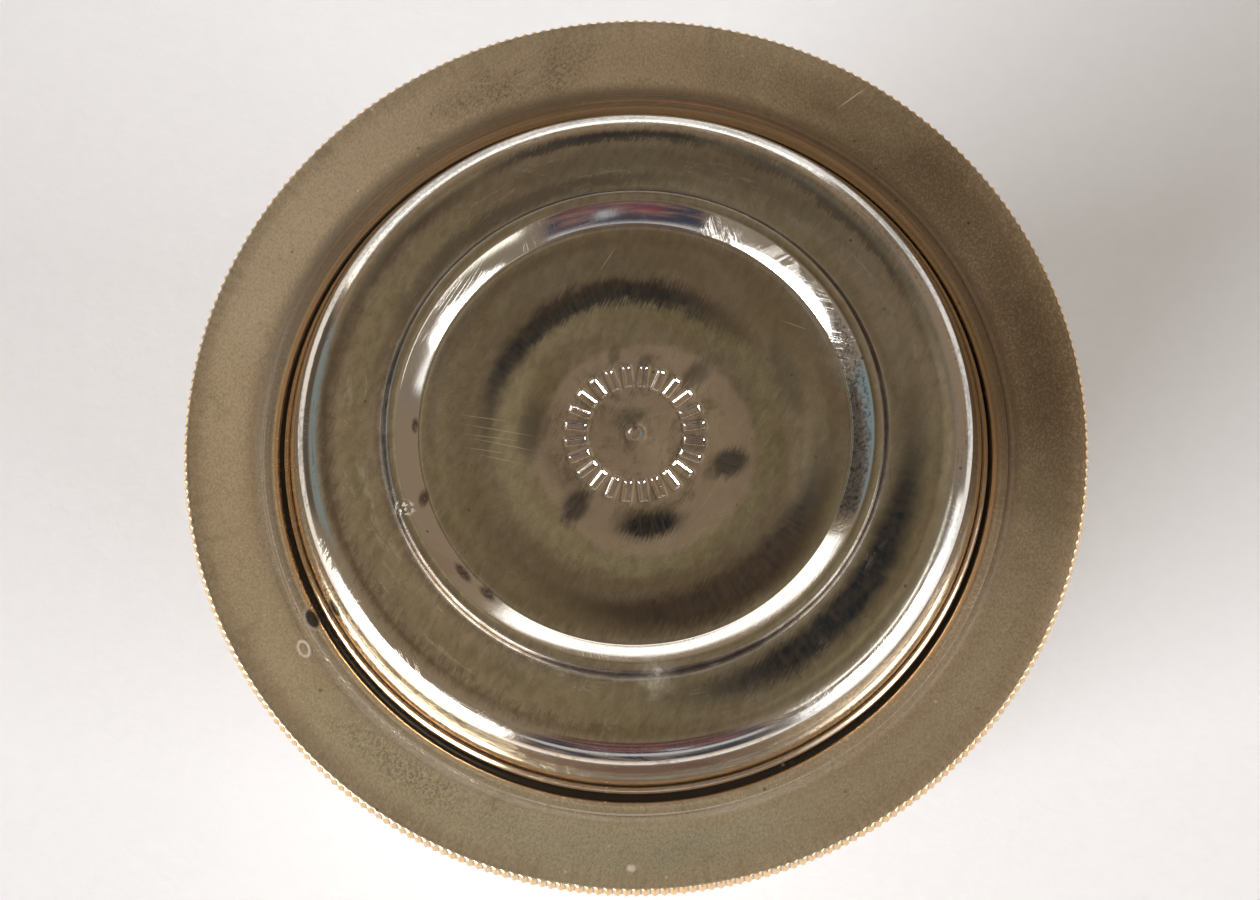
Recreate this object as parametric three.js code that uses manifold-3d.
// Bar jigger with a weighted, coin-edged base, standing mouth down.
//
// Frame: millimetres, +Z up, origin at the centre of the cup's mouth plane.
// The cup hangs below the knurled flange and opens towards -Z; the closed
// base cap with its raised foot ring is uppermost. The body is turned about Z.
//
// Build-up from the mouth: cup with a half-round wire on its lip, a collar
// around the root of the cup, the coin-edged flange, then the base cap over a
// ballast disc. A stud on the cup floor passes through the flange into the
// ballast disc, with a split spring washer and a fibre gasket between them.

import * as THREE from 'three';
import { mergeVertices } from 'three/addons/utils/BufferGeometryUtils.js';
import Module from 'manifold-3d';

// ---------------------------------------------------------------- dimensions
// Radii are from the Z axis.
const TURNED_SEGMENTS = 48;
const STUD_SEGMENTS = 36;

// cup
const CUP_LEN = 38.1;         // mouth plane to the flange underside
const CUP_MOUTH_R = 18.4;     // outer radius at the mouth
const CUP_ROOT_R = 16.25;     // outer radius under the collar
const CUP_WALL = 0.8;
const CUP_FLOOR = 1.0;
const MOUTH_LAND = 2.4;       // length of the straight band at the mouth
const MOUTH_BEVEL = 0.15;     // radial width of both mouth bevels
const MOUTH_BEVEL_IN_H = 0.25;
const MOUTH_BEVEL_OUT_H = 0.2;
const ROOT_FILLET = 2.6;      // outside corner at the floor
const INNER_FILLET = 1.8;
// [depth below the floor's outer face, radius gained over the root]
const CUP_FLARE = [[7, 0], [17, 0.62], [27, 1.42]];

// half-round lip wire
const WIRE_LOW = 0.35;        // lower edge above the mouth
const WIRE_R = 0.75;

// collar
const COLLAR_H = 3.4;
const COLLAR_FOOT_R = 20.4;

// flange
const FLANGE_R = 30.0;        // over the knurl crests
const FLANGE_T = 1.6;         // thickness at the rim
const FLANGE_BORE_R = 5.1;
const TEETH = 300;            // crests on the coin edge
const TOOTH_H = 0.24;         // crest height
const EDGE_CHAMFER = 0.1;     // chamfer reaches this far past the tooth roots
const BLANK_MARGIN = 0.05;    // blank's flats beyond the crests
const DISH = 0.4;             // fall of the face from the rim to the lip
const DISH_OUT_R = 28.6;
const LIP_OUT_R = 25.05;      // locating lip round the base cap
const LIP_IN_R = 23.55;
const LIP_H = 0.25;           // above the dished face
const RECESS_DEPTH = 0.85;    // seat of the base cap, below the rim face

// base cap; heights are above the flange's rim face
const CAP_R = 23.2;           // outer radius of the cap wall
const CAP_WALL = 0.8;
const CAP_WALL_TOP = 0.3;     // top of the straight wall
const CREASE_Z = 3.25;        // between the leaning wall and the shoulder
const CREASE_R = 22.4;
const SHOULDER_R = 20.25;     // centre of the shoulder arc
const SHOULDER_ROUND = 2.45;  // radius of the shoulder arc
const CAP_FACE_Z = 4.55;
const RING_OUT_R = 16.8;      // foot ring
const RING_CREST_OUT_R = 16.35;
const RING_CREST_IN_R = 15.85;
const RING_IN_R = 14.25;
const RING_Z = 5.3;
const PLATE_Z = 4.3;          // centre plate inside the foot ring

// ring of radial dashes sunk into the centre plate
const DASHES = 24;
const DASH_R = 3.95;          // to the middle of a dash
const DASH_LEN = 1.3;
const DASH_W = 0.34;
const DASH_DEPTH = 0.18;

// inside the base
const STUD_HEAD_R = 5.0;
const STUD_HEAD_H = 0.5;
const STUD_HEAD_CHAMFER = 0.2;
const STUD_R = 2.0;
const STUD_LEN = 4.0;         // above the cup floor's outer face
const STUD_TIP_CHAMFER = 0.4;
const STUD_HOLE_GAP = 0.05;   // round the stud in the ballast disc
const WASHER_OUT_R = 4.4;
const WASHER_IN_R = STUD_R + 0.25;
const WASHER_SLIT = 0.5;
const WASHER_STEPS = 28;      // along each edge of the washer
const GASKET_T = 0.35;
const GASKET_IN_R = 6.0;
const GASKET_OUT_R = 21.6;
const BALLAST_R = CAP_R - CAP_WALL - 0.1;
const BALLAST_CHAMFER = 0.3;

// levels above the mouth plane
const Z_UNDER = CUP_LEN;                    // flange underside
const Z_FACE = Z_UNDER + FLANGE_T;          // flange's rim face
const Z_SEAT = Z_FACE - RECESS_DEPTH;       // seat of the cap
const Z_BALLAST = Z_SEAT + GASKET_T;        // underside of the ballast disc
const Z_HEAD_TOP = Z_UNDER + STUD_HEAD_H;   // top of the stud's head
const Z_STUD_TOP = Z_UNDER + STUD_LEN;
const Z_PLATE_UNDER = Z_FACE + PLATE_Z - CAP_WALL;

const FINISHES = {
  cup: { color: 0xb7b0a2, roughness: 0.22, metalness: 1 },
  wire: { color: 0xbcb5a6, roughness: 0.2, metalness: 1 },
  collar: { color: 0xb2aa9a, roughness: 0.26, metalness: 1 },
  flange: { color: 0x7d6e52, roughness: 0.33, metalness: 1 },
  cap: { color: 0x9c8f75, roughness: 0.24, metalness: 1 },
  stud: { color: 0xb08d4a, roughness: 0.35, metalness: 1 },
  washer: { color: 0x6e6f72, roughness: 0.4, metalness: 1 },
  fibre: { color: 0x7a3b2c, roughness: 0.85, metalness: 0 },
  ballast: { color: 0x6b6a66, roughness: 0.55, metalness: 1 },
};

const wasm = await Module();
wasm.setup();

// ------------------------------------------------------------------- helpers
const toVectors = (points) => points.map(([x, y]) => new THREE.Vector2(x, y));

// Turns a profile of [radius, z] points about Z. Profiles run anticlockwise
// in the radius-z plane, so that the faces point outwards.
function turned(profile, segments = TURNED_SEGMENTS) {
  const geometry = new THREE.LatheGeometry(toVectors(profile), segments);
  return geometry.rotateX(Math.PI / 2);
}

// Extrudes an outline of [x, y] points upwards from level z.
function extruded(outline, depth, z) {
  const shape = new THREE.Shape(toVectors(outline));
  shape.closePath();
  const geometry = new THREE.ExtrudeGeometry(shape, { depth, bevelEnabled: false, steps: 1 });
  return geometry.translate(0, 0, z);
}

const polar = (radius, angle) => [radius * Math.cos(angle), radius * Math.sin(angle)];

// Points along an arc, angles in degrees, both ends included.
function arc(centreX, centreY, radius, from, to, steps) {
  return Array.from({ length: steps + 1 }, (_, i) => {
    const angle = THREE.MathUtils.degToRad(from + ((to - from) * i) / steps);
    const [x, y] = polar(radius, angle);
    return [centreX + x, centreY + y];
  });
}

// Moves a profile out by dr and up by dz.
const shifted = (profile, dr, dz) => profile.map(([r, z]) => [r + dr, z + dz]);

function toManifold(geometry) {
  const bare = geometry.clone();
  // Normals and UVs would keep coincident vertices from merging.
  bare.deleteAttribute('normal');
  bare.deleteAttribute('uv');
  const merged = mergeVertices(bare, 1e-4);
  return new wasm.Manifold(new wasm.Mesh({
    numProp: 3,
    vertProperties: new Float32Array(merged.attributes.position.array),
    triVerts: new Uint32Array(merged.index.array),
  }));
}

function toGeometry(solid) {
  const { vertProperties, triVerts } = solid.getMesh();
  const geometry = new THREE.BufferGeometry();
  const positions = new Float32Array(vertProperties);
  geometry.setAttribute('position', new THREE.BufferAttribute(positions, 3));
  geometry.setIndex(new THREE.BufferAttribute(new Uint32Array(triVerts), 1));
  return geometry;
}

// ----------------------------------------------------------------------- cup
// One shell: bevelled mouth, straight band, flared wall, filleted floor.
function cupBody() {
  const mouthInR = CUP_MOUTH_R - CUP_WALL;
  const rootInR = CUP_ROOT_R - CUP_WALL;
  const floorZ = CUP_LEN - CUP_FLOOR;
  const flare = (rootR) => CUP_FLARE.map(([depth, gain]) => [rootR + gain, CUP_LEN - depth]);
  return turned([
    [0, CUP_LEN],
    [0, floorZ],
    ...arc(rootInR - INNER_FILLET, floorZ - INNER_FILLET, INNER_FILLET, 90, 0, 3),
    ...flare(rootInR),
    [mouthInR, MOUTH_LAND],
    [mouthInR, MOUTH_BEVEL_IN_H],
    [mouthInR + MOUTH_BEVEL, 0],
    [CUP_MOUTH_R - MOUTH_BEVEL, 0],
    [CUP_MOUTH_R, MOUTH_BEVEL_OUT_H],
    [CUP_MOUTH_R, MOUTH_LAND],
    ...flare(CUP_ROOT_R).reverse(),
    ...arc(CUP_ROOT_R - ROOT_FILLET, CUP_LEN - ROOT_FILLET, ROOT_FILLET, 0, 90, 4),
    [0, CUP_LEN],
  ]);
}

// Half-round wire round the outside of the mouth.
function lipWire() {
  return turned([
    [CUP_MOUTH_R, WIRE_LOW + 2 * WIRE_R],
    ...arc(CUP_MOUTH_R, WIRE_LOW + WIRE_R, WIRE_R, -90, 90, 6),
  ]);
}

// Collar that covers the joint between the cup and the flange.
function cupCollar() {
  const footOut = COLLAR_FOOT_R - CUP_ROOT_R;
  // [distance out from the cup's root radius, height above the lower edge]
  const profile = [
    [0, COLLAR_H],
    [0, 0],
    [0.75, 0],
    [1.05, 0.3],
    [1.05, 0.8],
    [1.3, 1.5],
    [2.0, 2.2],
    [footOut - 0.8, 2.6],
    [footOut, 2.8],
    [footOut, COLLAR_H],
    [0, COLLAR_H],
  ];
  return turned(shifted(profile, CUP_ROOT_R, CUP_LEN - COLLAR_H));
}

// -------------------------------------------------------------------- flange
// Disc with a locating lip and a seat for the base cap, before its teeth.
function flangeBlank() {
  const chamfer = TOOTH_H + EDGE_CHAMFER;
  const chamferR = FLANGE_R - chamfer;
  // The flats of the faceted blank have to clear the crests.
  const blankR = FLANGE_R / Math.cos(Math.PI / TURNED_SEGMENTS) + BLANK_MARGIN;
  const dishZ = Z_FACE - DISH;
  return turned([
    [FLANGE_BORE_R, Z_SEAT],
    [FLANGE_BORE_R, Z_UNDER],
    [chamferR, Z_UNDER],
    [blankR, Z_UNDER + chamfer],
    [blankR, Z_FACE - chamfer],
    [chamferR, Z_FACE],
    [DISH_OUT_R, Z_FACE],
    [LIP_OUT_R, dishZ],
    [LIP_OUT_R - 0.35, dishZ + 0.02],
    [LIP_OUT_R - 0.55, dishZ + LIP_H - 0.06],
    [LIP_OUT_R - 0.9, dishZ + LIP_H],
    [LIP_IN_R + 0.25, dishZ + LIP_H - 0.08],
    [LIP_IN_R, dishZ - 0.1],
    [LIP_IN_R, Z_SEAT],
    [FLANGE_BORE_R, Z_SEAT],
  ]);
}

// Blank trimmed by a toothed prism that overshoots both of its faces.
function knurledFlange() {
  const below = 1;
  const above = 3;
  const outline = Array.from({ length: TEETH * 2 }, (_, i) => (
    polar(i % 2 ? FLANGE_R - TOOTH_H : FLANGE_R, (i * Math.PI) / TEETH)
  ));
  const prism = extruded(outline, below + FLANGE_T + above, Z_UNDER - below);
  return toGeometry(toManifold(flangeBlank()).intersect(toManifold(prism)));
}

// ------------------------------------------------------------------ base cap
// Straight wall in the flange seat, leaning inwards up to a fine crease, a
// rounded shoulder, a flat face, then a raised foot ring round a centre plate.
function capShell() {
  const inside = [
    [0, PLATE_Z - CAP_WALL],
    [RING_IN_R + 0.2, PLATE_Z - CAP_WALL],
    [RING_CREST_IN_R - 0.1, RING_Z - CAP_WALL - 0.02],
    [RING_CREST_OUT_R - 0.1, RING_Z - CAP_WALL],
    [RING_OUT_R - 0.35, CAP_FACE_Z - CAP_WALL],
    [SHOULDER_R, CAP_FACE_Z - CAP_WALL],
    [CREASE_R - 1.4, CREASE_Z + 0.15],
    [CREASE_R - 0.65, CREASE_Z - 0.65],
    [CAP_R - CAP_WALL, CAP_WALL_TOP + 0.1],
    [CAP_R - CAP_WALL, -RECESS_DEPTH],
  ];
  const outside = [
    [CAP_R, -RECESS_DEPTH],
    [CAP_R, CAP_WALL_TOP],
    [CAP_R - 0.05, CAP_WALL_TOP + 0.3],
    [CREASE_R + 0.5, CREASE_Z - 1.9],
    [CREASE_R + 0.12, CREASE_Z - 0.6],
    [CREASE_R - 0.05, CREASE_Z - 0.13],
    [CREASE_R, CREASE_Z],
    ...arc(SHOULDER_R, CAP_FACE_Z - SHOULDER_ROUND, SHOULDER_ROUND, 30, 90, 4),
    [RING_OUT_R, CAP_FACE_Z],
    [RING_OUT_R - 0.16, CAP_FACE_Z + 0.1],
    [RING_CREST_OUT_R + 0.2, RING_Z - 0.2],
    [RING_CREST_OUT_R, RING_Z],
    [RING_CREST_IN_R, RING_Z],
    [RING_CREST_IN_R - 0.15, RING_Z - 0.07],
    [RING_IN_R, PLATE_Z],
    [0, PLATE_Z],
  ];
  return turned(shifted([...inside, ...outside], 0, Z_FACE));
}

// Cap shell with the dashes cut; no dash lies on the X axis.
function baseCap() {
  const bar = new THREE.BoxGeometry(DASH_LEN, DASH_W, DASH_DEPTH * 2);
  bar.translate(DASH_R, 0, Z_FACE + PLATE_Z);
  let cap = toManifold(capShell());
  for (let i = 0; i < DASHES; i += 1) {
    const angle = ((i + 0.5) * 2 * Math.PI) / DASHES;
    cap = cap.subtract(toManifold(bar.clone().rotateZ(angle)));
  }
  return toGeometry(cap);
}

// ------------------------------------------------------------ inside the base
// Headed stud standing on the cup floor, with a plain shank.
function threadedStud() {
  return turned([
    [0, Z_UNDER],
    [STUD_HEAD_R, Z_UNDER],
    [STUD_HEAD_R, Z_HEAD_TOP - STUD_HEAD_CHAMFER],
    [STUD_HEAD_R - STUD_HEAD_CHAMFER, Z_HEAD_TOP],
    [STUD_R, Z_HEAD_TOP],
    [STUD_R, Z_STUD_TOP - STUD_TIP_CHAMFER],
    [STUD_R - STUD_TIP_CHAMFER, Z_STUD_TOP],
    [0, Z_STUD_TOP],
  ], STUD_SEGMENTS);
}

// Flat washer between the stud's head and the ballast disc, slit towards +X.
function springWasher() {
  const edge = (radius) => {
    const start = THREE.MathUtils.radToDeg(Math.asin(WASHER_SLIT / 2 / radius));
    return arc(0, 0, radius, start, 360 - start, WASHER_STEPS);
  };
  const outline = [...edge(WASHER_OUT_R), ...edge(WASHER_IN_R).reverse()];
  return extruded(outline, Z_BALLAST - Z_HEAD_TOP, Z_HEAD_TOP);
}

// Gasket on the flange seat, under the ballast disc.
function fibreGasket() {
  return turned([
    [GASKET_IN_R, Z_BALLAST],
    [GASKET_IN_R, Z_SEAT],
    [GASKET_OUT_R, Z_SEAT],
    [GASKET_OUT_R, Z_BALLAST],
    [GASKET_IN_R, Z_BALLAST],
  ]);
}

// Disc inside the cap, with a blind hole for the stud in its underside.
function ballastDisc() {
  const holeR = STUD_R + STUD_HOLE_GAP;
  return turned([
    [0, Z_PLATE_UNDER],
    [0, Z_STUD_TOP + 0.5],
    [holeR, Z_STUD_TOP + 0.3],
    [holeR, Z_BALLAST],
    [BALLAST_R - BALLAST_CHAMFER, Z_BALLAST],
    [BALLAST_R, Z_BALLAST + BALLAST_CHAMFER],
    [BALLAST_R, Z_FACE + CAP_WALL_TOP - 0.1],
    [CREASE_R - 1.0, Z_FACE + CREASE_Z - 0.9],
    [SHOULDER_R - 1.0, Z_PLATE_UNDER - 0.1],
    [SHOULDER_R - 1.3, Z_PLATE_UNDER],
    [0, Z_PLATE_UNDER],
  ]);
}

// ------------------------------------------------------------------ assembly
const group = new THREE.Group();

function add(name, geometry, finish) {
  const mesh = new THREE.Mesh(geometry, new THREE.MeshStandardMaterial(finish));
  mesh.name = name;
  group.add(mesh);
}

add('cup_body', cupBody(), FINISHES.cup);
add('lip_wire', lipWire(), FINISHES.wire);
add('cup_collar', cupCollar(), FINISHES.collar);
add('knurled_flange', knurledFlange(), FINISHES.flange);
add('base_cap', baseCap(), FINISHES.cap);
add('threaded_stud', threadedStud(), FINISHES.stud);
add('spring_washer', springWasher(), FINISHES.washer);
add('fibre_gasket', fibreGasket(), FINISHES.fibre);
add('ballast_disc', ballastDisc(), FINISHES.ballast);

export default group;
